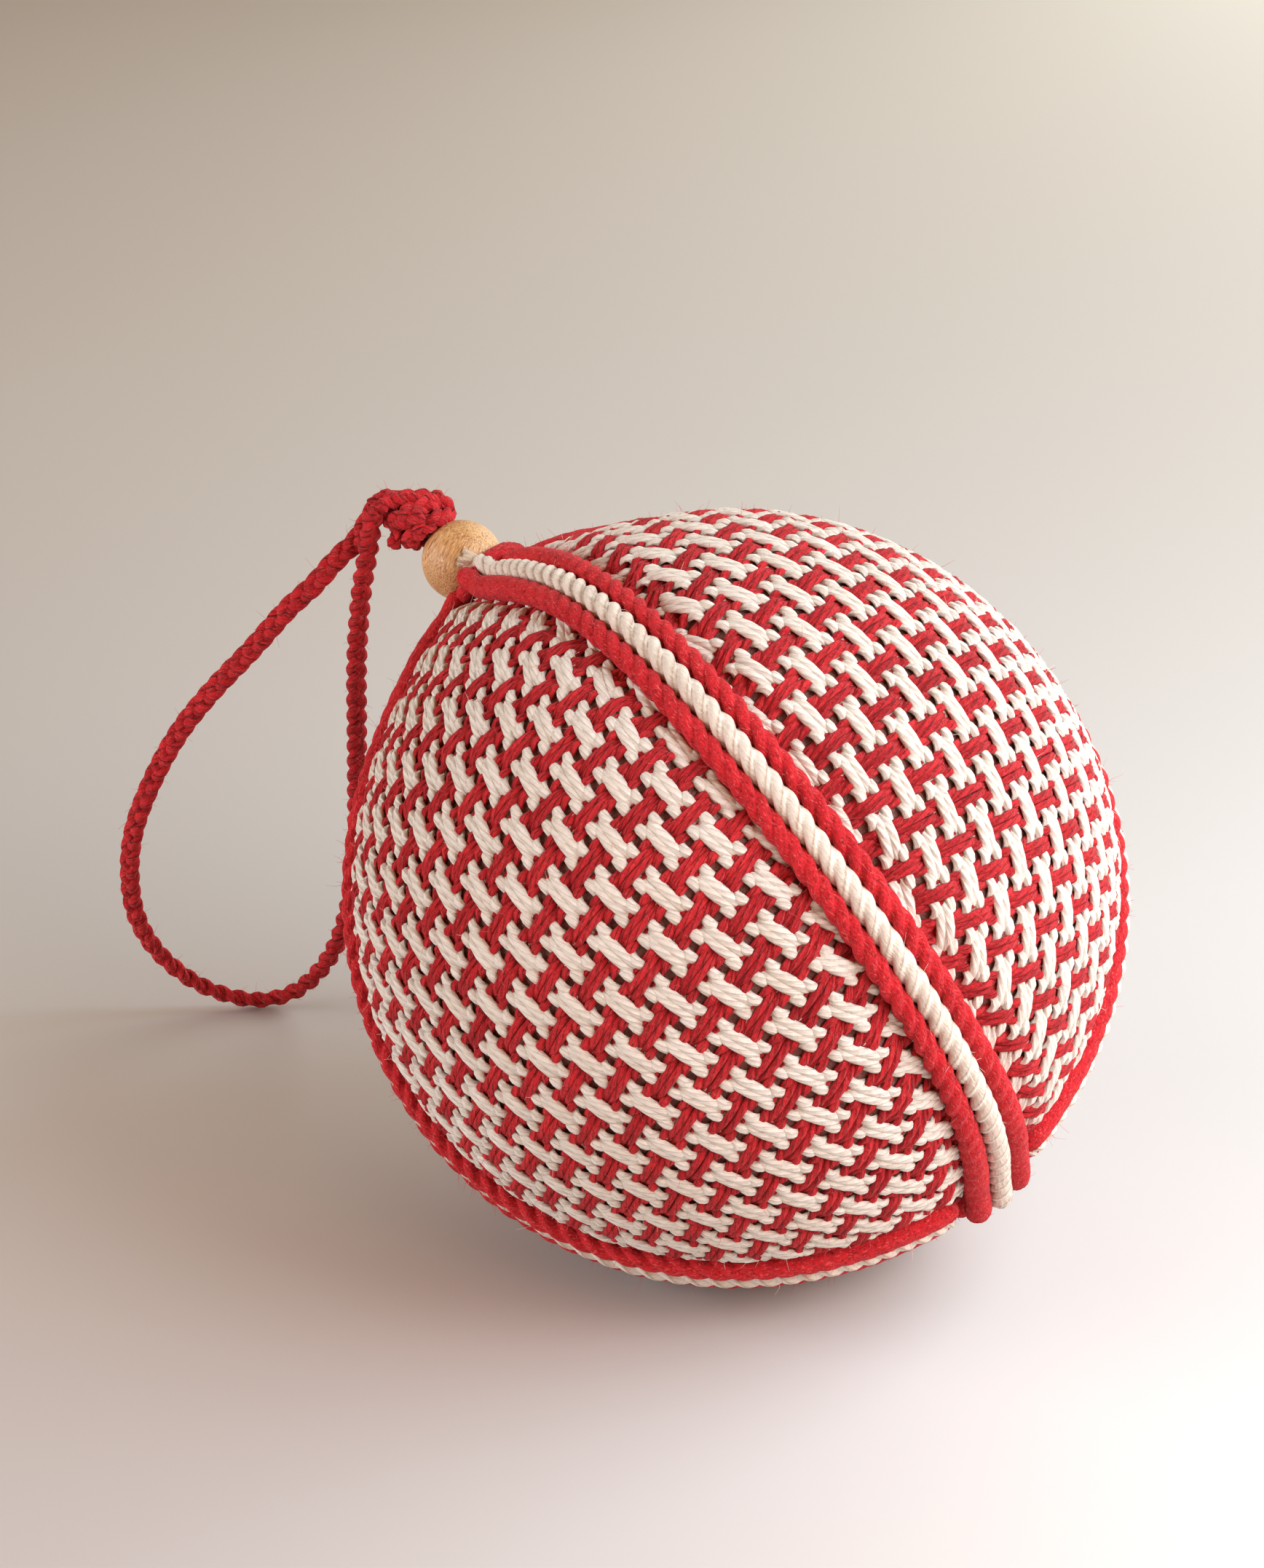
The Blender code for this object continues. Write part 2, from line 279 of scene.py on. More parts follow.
class Finish:  # one procedural material
    def __init__(self, name, roughness, **constants):
        self.material = bpy.data.materials.new(name)
        self.material.use_nodes = True
        self.tree = self.material.node_tree
        self.shader = self.tree.nodes["Principled BSDF"]
        self.shader.inputs["Roughness"].default_value = roughness
        for key, value in constants.items():
            self.shader.inputs[key.replace("_", " ")].default_value = value

    def node(self, kind, settings=None, values=(), out=0):
        made = self.tree.nodes.new("ShaderNode" + kind)
        for key, value in (settings or {}).items():
            setattr(made, key, value)
        for key, value in (values.items() if isinstance(values, dict) else enumerate(values)):
            self.feed(made.inputs[key], value)
        return Wire(self, made.outputs[out])

    def feed(self, socket, value):
        if isinstance(value, Wire):
            self.tree.links.new(value.socket, socket)
        else:
            socket.default_value = value

    def join(self, *values):
        return self.node("CombineXYZ", None, values)

    def tone(self):  # each thread's own shade
        return self.node("Attribute", {"attribute_name": "tone"}, (), "Fac")

    def mix(self, factor, first, second):
        first, second = (colour if isinstance(colour, Wire) else (*colour, 1) for colour in (first, second))
        return self.node("Mix", {"data_type": "RGBA"}, {0: factor, 6: first, 7: second}, 2)

    def noise(self, place, scale, detail=2.0, rough=0.5):
        return self.node("TexNoise", None, {"Vector": place, "Scale": scale, "Detail": detail, "Roughness": rough})

    def finish(self, colour, height=None, distance=0.0):
        self.feed(self.shader.inputs["Base Color"], colour)
        if height is not None:
            bump = self.node("Bump", None, {"Height": height, "Distance": distance, "Strength": 1.0})
            self.feed(self.shader.inputs["Normal"], bump)
        return self.material


yarnPattern = {
    "streak": {"across": 3.2, "along": 0.22, "around": 0.4, "scale": 2.6},  # painted shade in the hollows between fibres
    "stroke": {"across": 5.0, "along": 0.45, "shift": 7, "scale": 3.1, "from": 0.58, "edge": 5},  # painted highlights on single fibres
    "cloudScale": 130.0, "fluffScale": 2600.0,
    "streakMiddle": 0.5, "fluffMiddle": 0.52, "bodyGain": 0.9, "bodyDrop": 0.4,
    "sheenRoughness": 0.45, "specular": 0.25, "bump": 0.0004,
}


def yarnFinish(name, look):
    f = Finish(name, look["roughness"], Sheen_Weight=look["sheen"], Sheen_Roughness=yarnPattern["sheenRoughness"],
               Sheen_Tint=(*look["sheenTint"], 1), Specular_IOR_Level=yarnPattern["specular"])
    place = f.node("TexCoord", out="Object")
    along = f.node("SeparateXYZ", None, (f.node("TexCoord", out="UV"),))
    around = Wire(f, along.socket.node.outputs[1])
    turn = along / look["lay"] + around * look["hand"] + look["phase"]
    plies = look["plies"]
    ply = abs((turn * (math.pi * plies)).sine())
    grain = along / look["grain"] + around * look["hand"]
    fine, bright = yarnPattern["streak"], yarnPattern["stroke"]
    streakPlace = f.join(grain * (plies * fine["across"]), along * fine["along"], around * fine["around"])
    streak = f.noise(streakPlace, fine["scale"], 2.0, 0.6)
    strokePlace = f.join(grain * (plies * bright["across"]) + bright["shift"], along * bright["along"], around)
    stroke = f.noise(strokePlace, bright["scale"], 1.0)
    cloud = f.noise(place, yarnPattern["cloudScale"], 3.0)
    fluff = f.noise(place, yarnPattern["fluffScale"], 3.0, 0.7)
    tone = f.tone()
    # painted shade: darker in the grooves between plies and in the hollows between fibres, the fluff adding random dark
    # flecks
    shade = ((1 - ply) ** 3 * look["plyShade"] + (yarnPattern["streakMiddle"] - streak) * look["streakShade"]
             + (yarnPattern["fluffMiddle"] - fluff) * look["fluffShade"])
    gain = yarnPattern["bodyGain"]
    body = f.mix((cloud * gain + tone * gain - yarnPattern["bodyDrop"]).clamp(), look["deep"], look["light"])
    colour = f.mix(shade.clamp(), body, look["grooveShade"])
    # painted highlights: single fibres lightened towards the fibre colour
    colour = f.mix(((stroke - bright["from"]) * bright["edge"]).clamp() * look["strokes"], colour, look["fibre"])
    height = ply * ply * look["plyRise"] + streak * look["streakRise"] + fluff * look["fluffRise"]
    return f.finish(colour, height, yarnPattern["bump"])


# fibre is the colour of the painted highlights on single fibres
# grooveShade is the colour of the painted shade in ply grooves and fibre hollows
creamYarn = {
    "plies": 4, "plyShade": 0.6, "plyRise": 0.35, "streakShade": 0.8, "streakRise": 0.45,
    "fluffShade": 0.5, "fluffRise": 0.35, "strokes": 0.5, "sheen": 0.2, "roughness": 0.9,
    "deep": (0.83, 0.775, 0.69), "light": (0.94, 0.92, 0.86), "grooveShade": (0.40, 0.29, 0.21),
    "fibre": (0.96, 0.95, 0.91), "sheenTint": (1.0, 0.97, 0.93), "phase": 0.0,
}
redYarn = {
    "plies": 3, "plyShade": 0.8, "plyRise": 0.35, "streakShade": 1.8, "streakRise": 0.6,
    "fluffShade": 1.6, "fluffRise": 0.9, "strokes": 0.6, "sheen": 0.12, "roughness": 0.9,
    "deep": (0.43, 0.007, 0.014), "light": (0.84, 0.030, 0.042), "grooveShade": (0.06, 0.002, 0.004),
    "fibre": (0.94, 0.19, 0.18), "sheenTint": (1.0, 0.5, 0.5), "phase": 0.0,
}
# a seam cord's mesh has the plies, so its long lay only draws straight lines of painted shade
seamCord = {"lay": 900.0, "grain": -9.0, "hand": 1.0, "phase": 0.1667, "plyRise": 0.1}
yarnLooks = {  # lay: mm for one turn of the plies, grain: the same for the fibres
    "clothCream": {**creamYarn, "lay": 7.6, "grain": 7.6, "hand": -1.0},
    "clothRed": {**redYarn, "lay": 7.0, "grain": 7.0, "hand": -1.0},
    "trimRed": {**redYarn, **seamCord, "plyShade": 0.2, "fluffShade": 2.2, "streakShade": 1.2},
    "trimCream": {**creamYarn, **seamCord, "plies": 3, "plyShade": 0.9, "streakShade": 1.1,
                  "deep": (0.70, 0.645, 0.56), "light": (0.86, 0.82, 0.745)},
    "frayed": {**creamYarn, "lay": 900.0, "grain": 9.0, "hand": 1.0, "plyShade": 0.1,
               "deep": (0.70, 0.54, 0.38), "light": (0.90, 0.76, 0.60)},
    "loopRed": {**redYarn, "lay": 3.0, "grain": 3.0, "hand": 1.0, "plies": 2},
}
finishes = {name: yarnFinish(name, look) for name, look in yarnLooks.items()}
# the stuffed body is real, its dark brown is painted shade for the holes between the threads
backing = {
    "deep": (0.17, 0.060, 0.058), "light": (0.36, 0.19, 0.17),
    "cloudScale": 420.0, "cloudGain": 1.6, "cloudDrop": 0.3, "fineScale": 2400.0, "bump": 0.0005,
}


def backingFinish():
    f = Finish("clothBackingShade", 0.95, Specular_IOR_Level=0.1)
    place = f.node("TexCoord", out="Object")
    cloud, fine = f.noise(place, backing["cloudScale"], 3.0), f.noise(place, backing["fineScale"], 2.0)
    share = (cloud * backing["cloudGain"] - backing["cloudDrop"]).clamp()
    # painted shade: the dark colour seen through the holes of the weave
    colour = f.mix(share, backing["deep"], backing["light"])
    return f.finish(colour, fine, backing["bump"])


finishes["backing"] = backingFinish()
stage("finishes")


# Loose fibres on the yarns
fuzz = {
    "seed": 900, "thickness": 0.06, "rings": 3, "bend": 0.7, "stray": 0.6, "roll": 0.2,
    "thinning": 0.6, "tones": (0.2, 0.8), "shade": 0.7,  # share of width lost at the tip, colour at the darkest
    # where they grow: places round a plaited strand and round a seam cord, and how deep, as a share of the radius
    "strandTurns": (0.4, 1.9, 3.3, 4.8), "cordPlaces": 7, "cordWrap": 0.6, "cordDepth": 0.85, "threadDepth": 0.8,
    "kinds": {  # how many, length in mm, how far they stand off
        "clothCream": {"count": 700, "length": (0.3, 1.0), "rise": 0.5, "slot": "woven_cloth"},
        "clothRed": {"count": 1900, "length": (0.3, 1.1), "rise": 0.6, "slot": "woven_cloth"},
        "trimRed": {"count": 3000, "length": (0.4, 1.3), "rise": 0.75, "slot": "red_cord"},
        "trimCream": {"count": 400, "length": (0.4, 1.1), "rise": 0.5, "slot": "cream_cord"},
        "loopRed": {"count": 1000, "length": (0.3, 0.9), "rise": 0.8, "slot": "red_cord"},
    },
    "red": (0.72, 0.08, 0.09), "cream": (0.90, 0.84, 0.76),
}
roots = {kind: [] for kind in fuzz["kinds"]}  # where fibres may grow: place and outward


def growFuzz():
    for seed, (kind, look) in enumerate(fuzz["kinds"].items()):
        rng = np.random.default_rng(fuzz["seed"] + seed)
        places = np.concatenate([pair[0] for pair in roots[kind]])
        outward = np.concatenate([pair[1] for pair in roots[kind]])
        chosen = rng.choice(len(places), look["count"], replace=False)
        rope = Rope()
        along = np.linspace(0, 1, fuzz["rings"])
        width = (fuzz["thickness"] / 2 * (1 - fuzz["thinning"] * along))[:, None, None]
        for place, out in zip(places[chosen], outward[chosen]):
            ahead = unit(out * look["rise"] + rng.normal(size=3) * fuzz["stray"])
            curl = rng.normal(size=3) * fuzz["bend"]
            length = rng.uniform(*look["length"])
            line = place + length * (along[:, None] * ahead + (along ** 2)[:, None] * curl)
            facing = out + rng.normal(size=3) * fuzz["roll"]
            rope.tube(sweep(line, facing, ellipse(4, 1, 1)[None] * width), along, rng.uniform(*fuzz["tones"]))
        colour = fuzz["red" if "Red" in kind else "cream"]
        f = Finish("fibre" + kind, 0.8, Sheen_Weight=0.3, Specular_IOR_Level=0.2)
        material = f.finish(f.mix(f.tone(), [c * fuzz["shade"] for c in colour], colour))
        piece = rope.build("fuzz_" + kind, material)
        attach(piece, "root")


# Hanging loop: a flat plait of three strands
loop = {
    "cycle": 8.4,  # length of one full plait
    "sideways": 0.68, "over": 0.40,  # how far a strand swings
    "strand": (0.80, 0.66),  # half width and half thickness
    "step": 0.55, "pathEvery": 6,  # mm between rings, and rings between the points that measure its course
    "route": (  # in the scene, not on the ball
        (-46.7, 32.9, 88.3), (-48.1, 34.3, 85.4), (-49.7, 35.1, 82.6), (-52.2, 35.2, 80.1), (-55.5, 36.2, 75.9),
        (-59.2, 37.1, 72.0), (-64.3, 39.0, 65.4), (-70.2, 41.1, 58.2), (-75.1, 43.5, 51.0), (-79.4, 46.4, 42.3),
        (-82.5, 49.2, 33.6), (-83.7, 51.8, 25.5), (-83.4, 54.4, 17.8), (-81.1, 56.5, 11.3), (-76.9, 58.2, 5.9),
        (-72.2, 59.2, 2.8), (-67.0, 59.7, 1.5), (-62.0, 59.2, 3.0), (-58.0, 57.9, 7.1), (-54.9, 55.8, 13.3),
        (-52.8, 53.1, 21.6), (-51.6, 50.0, 31.1), (-51.1, 46.5, 41.7), (-50.7, 43.1, 52.1), (-50.2, 39.2, 64.0),
        (-49.2, 35.5, 74.5), (-48.2, 33.1, 80.7), (-47.6, 31.4, 84.3), (-47.1, 29.8, 87.6), (-46.3, 29.0, 89.6),
    ),
}


def smoothRoute(route, step, fineness=24):  # even points on a smooth curve through the route
    p = np.array(route, float)
    p = np.concatenate((2 * p[:1] - p[1:2], p, 2 * p[-1:] - p[-2:-1]))
    fine = []
    for a, b, c, d in zip(p, p[1:], p[2:], p[3:]):
        t = np.linspace(0, 1, fineness, endpoint=False)[:, None]
        bend, turn = 2 * a - 5 * b + 4 * c - d, 3 * b - a - 3 * c + d
        fine.append(0.5 * (2 * b + (c - a) * t + bend * t ** 2 + turn * t ** 3))
    fine = np.concatenate(fine + [p[-2:-1]])
    length = np.concatenate(([0], np.cumsum(np.linalg.norm(np.diff(fine, axis=0), axis=1))))
    even = np.linspace(0, length[-1], round(length[-1] / step) + 1)
    return np.stack([np.interp(even, length, fine[:, k]) for k in range(3)], 1), even


def steadyOut(points):  # a direction across the line that turns as little as it can
    ahead = unit(np.gradient(points, axis=0))
    out = [unit(np.cross(ahead[0], (0.3, 0.2, 1.0)))]
    for a in ahead[1:]:
        v = out[-1] - a * (out[-1] @ a)
        out.append(v / np.linalg.norm(v))
    return np.array(out)


def plait(rope, points, along, out, size, tone=0.5):  # a flat plait of three strands
    ahead = unit(np.gradient(points, axis=0))
    side = unit(np.cross(ahead, out))
    for strand in range(3):
        t = along / size["cycle"] * 2 * math.pi + strand * 2 * math.pi / 3
        swing, rise = size["sideways"] * np.sin(t), size["over"] * np.sin(2 * t)
        line = points + side * swing[:, None] + out * rise[:, None]
        rope.tube(sweep(line, out, ellipse(10, *size["strand"])), along, tone + 0.1 * (strand - 1))
        for turn in fuzz["strandTurns"]:
            around = side * math.cos(turn) + out * math.sin(turn)
            roots["loopRed"].append((line + around * size["strand"][1], around))


def makeLoop():
    points, along = smoothRoute(loop["route"], loop["step"])
    local = toBall(points)
    rope = Rope()
    plait(rope, local, along, steadyOut(local), loop)
    obj = rope.build("hanging_plait", finishes["loopRed"], squash=False)
    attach(obj, "root")
    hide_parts("hanging_loop")


makeLoop()
stage("hanging loop")


# Light and floor
studio = {
    "floor": (0.56, 0.56, 0.56), "floorSize": 8,  # metres, as are the lamps' places
    "world": (1.0, 0.45, 0.04), "worldStrength": 0.25,
    "lamps": {
        "ceiling": {"place": (0.35, -0.10, 0.30), "aim": (0.35, -0.099, 0), "size": 0.5,
                    "power": 2.97, "colour": (0.84, 1.01, 1.13)},
        "front": {"place": (0.35, -0.40, 0.30), "aim": (0.35, -0.399, 0), "size": 0.5,
                  "power": 2.94, "colour": (1.28, 0.91, 0.79)},
        "window": {"place": (0.362, 0.432, 0.205), "aim": (0, 0, 0.03), "size": 0.8,
                   "power": 3.55, "colour": (1.01, 1.03, 0.94)},
        "wall": {"place": (-1.237, -0.218, 0.336), "aim": (0, 0, 0.03), "size": 0.9,
                 "power": 13.3, "colour": (1.01, 0.97, 1.00)},
    },
}


def makeStudio():
    bpy.ops.object.select_all(action="DESELECT")
    bpy.ops.mesh.primitive_plane_add(size=studio["floorSize"], location=(0, 0, 0))
    floor = bpy.context.object
    floor.name = "floor"
    f = Finish("floorPaper", 0.9, Specular_IOR_Level=0.1)
    f.feed(f.shader.inputs["Base Color"], (*studio["floor"], 1))
    floor.data.materials.append(f.material)
    world = bpy.data.worlds.new("room")
    world.use_nodes = True
    background = world.node_tree.nodes["Background"]
    background.inputs["Color"].default_value = (*studio["world"], 1)
    background.inputs["Strength"].default_value = studio["worldStrength"]
    bpy.context.scene.world = world
    for name, look in studio["lamps"].items():
        data = bpy.data.lights.new(name, "AREA")
        data.shape, data.size, data.energy, data.color = "DISK", look["size"], look["power"], look["colour"]
        lamp = bpy.data.objects.new(name, data)
        lamp.location = look["place"]
        lamp.rotation_euler = (Vector(look["aim"]) - Vector(look["place"])).to_track_quat("-Z", "Y").to_euler()
        lamp.visible_camera = False
        bpy.context.collection.objects.link(lamp)
    bpy.context.scene.view_settings.view_transform = "Standard"


makeStudio()
stage("light and floor")


# Woven cloth
def mirrored(half):  # a thread's rings from its dip to its middle, then the same on the far side
    return half + tuple((-place, *rest) for place, *rest in reversed(half[1:-1]))


cloth = {
    "seed": 40,
    "middle": 48.45,  # the cloth's middle, from the ball's centre
    "mapRadius": 49.7,
    "drop": 1.3, "dropStart": 4.4, "dropEnd": 8.6,  # drawn in along the seams
    "backing": 0.26,  # its face lies this far under the middle
    "hide": 2.9,  # threads end this far from a seam, under the cords
    "farAcross": 46, "farAlong": 76, "topPole": 7, "bottomPole": 175,  # mm, mm and degrees where threads stop
    "fewest": 5, "fibreHeight": 0.2,  # rings of the shortest thread, fibres grow above this height
    "column": 4.45, "row": 4.7,  # mm from one unit to the next column and half a row on
    "tones": (0.2, 0.8), "patternShift": 50,
    # threads as rings: place along, sideways, height, half width, half thickness, all in mm
    "centreWarp": mirrored((
        (-4.65, 0.46, -0.34, 0.51, 0.35), (-3.35, 0.44, -0.12, 0.55, 0.40), (-2.65, 0.46, 0.24, 0.64, 0.48),
        (-1.5, 0.49, 0.50, 0.71, 0.56), (0, 0.50, 0.58, 0.73, 0.58))),
    "sideWarp": mirrored((
        (-4.65, 1.25, -0.42, 0.54, 0.37), (-3.9, 1.16, -0.04, 0.60, 0.44), (-3.45, 1.04, 0.38, 0.68, 0.49),
        (-2.8, 0.98, 0.56, 0.74, 0.52), (-2.15, 1.06, 0.38, 0.68, 0.48), (-1.6, 1.26, -0.04, 0.54, 0.40),
        (0, 1.45, -0.32, 0.51, 0.37))),
    "centreWeft": mirrored((
        (-4.45, 0.46, -0.34, 0.48, 0.35), (-3.2, 0.44, -0.20, 0.52, 0.40), (-2.5, 0.46, 0.08, 0.52, 0.44),
        (-1.6, 0.47, 0.50, 0.54, 0.49), (0, 0.48, 0.64, 0.55, 0.50))),
    "sideWeft": mirrored((
        (-4.45, 1.32, -0.42, 0.47, 0.36), (-3.85, 1.24, -0.10, 0.49, 0.40), (-3.4, 1.20, 0.30, 0.54, 0.43),
        (-2.85, 1.20, 0.48, 0.59, 0.47), (-2.2, 1.28, 0.14, 0.51, 0.42), (-1.6, 1.34, -0.06, 0.49, 0.38),
        (0, 1.52, 0.08, 0.47, 0.38))),
}
# lines each way from the middle, repeats of the rings, then the unevenness of a thread
weave = {
    "warp": {"yarn": "clothCream", "rings": ("centreWarp", "sideWarp"), "lines": 10, "repeats": 8,
             "start": 0.12, "place": 0.05, "bend": 0.07, "width": 0.06, "swelling": 0.05, "lift": 0.05},
    "weft": {"yarn": "clothRed", "rings": ("centreWeft", "sideWeft"), "lines": 17, "repeats": 6,
             "start": 0.15, "place": 0.06, "bend": 0.08, "width": 0.08, "swelling": 0.08, "lift": 0.07},
}
panels = {  # seams, middle meridian in degrees, then where unit (a, b) lies: terms of a and b in mm
    "front": {
        "seams": ("left", "front"), "middle": 8.5,
        "x": {(0, 0): 0.253, (0, 1): 0.4161, (0, 2): 0.0202, (0, 3): -0.001, (1, 0): 4.4421, (1, 1): 0.0019,
              (1, 2): -0.0008, (2, 0): 0.0168, (2, 1): 0.003, (3, 0): -0.0011},
        "y": {(0, 0): 0.9735, (0, 1): 4.7004, (0, 2): -0.0107, (0, 3): 0.0006, (1, 0): -0.924, (1, 1): 0.0288,
              (1, 2): 0.0012, (2, 0): 0.0029, (2, 1): 0.0109, (3, 0): 0.0022}},
    "right": {
        "seams": ("front", "right"), "middle": 100.5,
        "x": {(0, 0): 2.7842, (0, 1): -0.2327, (0, 2): -0.0086, (1, 0): 4.2833, (1, 1): -0.0212, (2, 0): -0.0221},
        "y": {(0, 0): 0.0357, (0, 1): 4.9362, (0, 2): -0.0129, (1, 0): 0.1355, (1, 1): -0.0497, (2, 0): 0.0124}},
    "back": {
        "seams": ("right", "back"), "middle": 188.0,
        "x": {(0, 0): 1.1, (0, 1): 0.12, (1, 0): 4.42, (1, 1): 0.006, (2, 0): 0.008},
        "y": {(0, 0): 0.6, (0, 1): 4.72, (1, 0): -0.22, (2, 1): 0.009, (1, 1): 0.012}},
    "under": {
        "seams": ("back", "left"), "middle": 276.0,
        "x": {(0, 0): -1.3, (0, 1): -0.10, (1, 0): 4.42, (1, 1): -0.004},
        "y": {(0, 0): 1.9, (0, 1): 4.75, (1, 0): 0.31, (2, 1): 0.009}},
}
body = {"rows": 56, "columns": 34, "poleCut": 5.4, "gap": 0.15, "core": 1.9}  # the stuffed body of a panel
sectionAngles = np.radians((0, 48, 90, 132, 180, 270))


def polynomial(terms, a, b):
    return sum(value * a ** i * b ** j for (i, j), value in terms.items())


def clothPoint(panel, x, y):  # direction on the ball of a place on the flat cloth
    radius, m = cloth["mapRadius"], math.radians(panel["middle"])
    al, be = x / radius, y / radius
    towards, across = np.array((math.cos(m), math.sin(m), 0)), np.array((-math.sin(m), math.cos(m), 0))
    down = np.array((0, 0, -1))
    level, steep = np.cos(al) * np.cos(be), np.cos(al) * np.sin(be)
    return level[..., None] * towards + steep[..., None] * down + np.sin(al)[..., None] * across


def drawnIn(off):  # how far the cloth drops towards a seam
    share = smoothStep((off - cloth["dropStart"]) / (cloth["dropEnd"] - cloth["dropStart"]))
    return cloth["drop"] * (1 - share)


def clothReach(directions, panel):
    off = fromSeams(directions, *panel["seams"])
    polar, _ = polarAngle(directions)
    return cloth["middle"] + tip(polar) - drawnIn(off), off, polar


def wander(rng, along, size):  # slow hand-woven unevenness
    waves = (rng.uniform(0.4, 1) * np.sin(along * rng.uniform(0.25, 1.1) + rng.uniform(0, 6.3)) for _ in range(3))
    return size * sum(waves) / 2


def layThread(kind, rope, panel, a, b, height, wide, thick, along, tone):
    x, y = polynomial(panel["x"], a, b), polynomial(panel["y"], a, b)
    d = clothPoint(panel, x, y)
    reach, off, polar = clothReach(d, panel)
    keep = (np.abs(x) < cloth["farAcross"]) & (np.abs(y) < cloth["farAlong"])
    keep = keep & (off > cloth["hide"]) & (polar > cloth["topPole"]) & (polar < cloth["bottomPole"])
    edges = np.flatnonzero(np.diff(np.concatenate(([0], keep.astype(int), [0]))))
    for start, end in zip(edges[::2], edges[1::2]):
        if end - start < cloth["fewest"]:
            continue
        part = slice(start, end)
        line = d[part] * (reach + height)[part, None]
        across, high = np.cos(sectionAngles) * wide[part, None], np.sin(sectionAngles) * thick[part, None]
        top = height[part] > cloth["fibreHeight"]
        roots[kind].append(((line + d[part] * thick[part, None] * fuzz["threadDepth"])[top], d[part][top]))
        rope.tube(sweep(line, d[part], np.stack((across, high), -1)), along[part], tone)


def tiled(rings, period, count):  # the ring table repeated along a thread
    table = np.tile(np.array(rings), (2 * count + 1, 1))
    shift = np.repeat(np.arange(-count, count + 1), len(rings)) * period
    return table[:, 0] + shift, table[:, 1:]


def about(rng, size):
    return rng.uniform(-size, size)


def weavePanel(name, seed):
    panel, rng = panels[name], np.random.default_rng(seed)
    counts = []
    for direction, look in weave.items():
        rope, isWarp = Rope(), direction == "warp"
        for number in range(-look["lines"], look["lines"] + 1):
            for rings in look["rings"]:
                for side in (-1, 1):
                    run, t = tiled(cloth[rings], 2 * cloth["row" if isWarp else "column"], look["repeats"])
                    run = run + about(rng, look["start"])
                    across = side * t[:, 0] + about(rng, look["place"]) + wander(rng, run, look["bend"])
                    if isWarp:
                        a, b = number + across / cloth["column"], number % 2 + run / cloth["row"]
                    else:
                        a, b = (number + 1) % 2 + run / cloth["column"], number + across / cloth["row"]
                    grow = 1 + about(rng, look["width"]) + wander(rng, run, look["swelling"])
                    height = t[:, 1] + wander(rng, run, look["lift"])
                    layThread(look["yarn"], rope, panel, a, b, height, t[:, 2] * grow, t[:, 3] * grow,
                              run + cloth["patternShift"], rng.uniform(*cloth["tones"]))
        piece = rope.build(f"{direction}_{name}", finishes[look["yarn"]])
        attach(piece, "root")
        counts.append(len(piece.data.polygons) * 2)
    print("  threads of", name, *counts, "triangles")


def makeBacking(name):  # the stuffed body under the threads, closed down to the core; its dark colour is painted shade in the holes
    first, second = panels[name]["seams"]
    columns, gap, core = body["columns"], body["gap"], body["core"]
    polar = np.linspace(body["poleCut"], 180 - body["poleCut"], body["rows"])
    rings = []
    for p in polar:
        start = seamAngle(first, p)
        span = (seamAngle(second, p) - start) % (2 * math.pi)
        across = ball["crown"] * math.sin(math.radians(p))
        share = np.linspace(0, 1, columns)
        angle = start + gap / across + (span - 2 * gap / across) * share
        d = unit(onBall(np.full(columns, ball["crown"]), np.full(columns, p), angle))
        off = np.minimum(share, 1 - share) * span * across
        reach = cloth["middle"] - cloth["backing"] + tip(p) - drawnIn(off)
        skin = d * reach[:, None]
        middle = start + span / 2
        inner = (np.array((core * math.cos(middle), core * math.sin(middle), skin[0, 2])) + drift(p))[None]
        rings.append(np.concatenate((skin, (skin[-1:] + inner) / 2, inner)))
    rope = Rope()
    rope.tube(np.array(rings), polar)
    piece = rope.build("body_" + name, finishes["backing"])
    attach(piece, "root")
    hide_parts("panel_" + name)


for seed, name in enumerate(panels):
    weavePanel(name, cloth["seed"] + seed)
    makeBacking(name)
    stage("cloth of the " + name + " panel")


# Cords on the seams
trim = {
    "seed": 700,
    "redRadius": 1.72, "creamRadius": 1.6, "fuller": 1.03, "spacing": 3.35,
    "redLine": 48.9, "creamLine": 49.2,
    "start": 5.8, "nearStart": 4.5, "topLift": 1.9, "nearLift": 0.4, "topLiftSpread": 1.6,
    "squeeze": 0.18, "squeezeSpread": 5.0,
    "overrun": 0.6, "endLift": 1.5, "endLiftSpread": 5.0, "butt": 7.4,
    "lay": 9.0, "layTop": 0.15, "layEnd": 0.25, "laySpread": 26.0,  # the twist is tighter at both ends
    "slim": 0.13, "slimStart": 8.0, "slimSpread": 36.0,  # red cords are stretched thin in the middle
    # the left seam's cream cord lies deeper where the photo shows only the red one in front of it
    "sink": 0.65, "sinkFrom": (12.0, 25.0), "sinkTo": (132.0, 28.0),
    "close": 0.17, "closeStart": 9.0, "closeSpread": 42.0,  # degrees, the three lie against each other there
    "redWorn": 0.12, "creamWorn": 0.45, "wornStart": 4, "wornSpread": 22,  # the plies are worn smooth near the ends
    "step": 0.7, "sides": 18, "round": 0.95, "uneven": 0.03,
    "ends": ((0.35, 0.93), (0.65, 0.75), (0.88, 0.45), (0.97, 0.15)),  # place and width of an end's rings
}


def pliedSection(count, plies=3, ply=0.57, offset=0.43):  # outline of plies laid together, radius 1
    a = np.arange(count) / count * 2 * math.pi
    local = (a + math.pi / plies) % (2 * math.pi / plies) - math.pi / plies
    r = offset * np.cos(local) + np.sqrt(ply ** 2 - (offset * np.sin(local)) ** 2)
    return np.stack((np.cos(a) * r, np.sin(a) * r), 1)


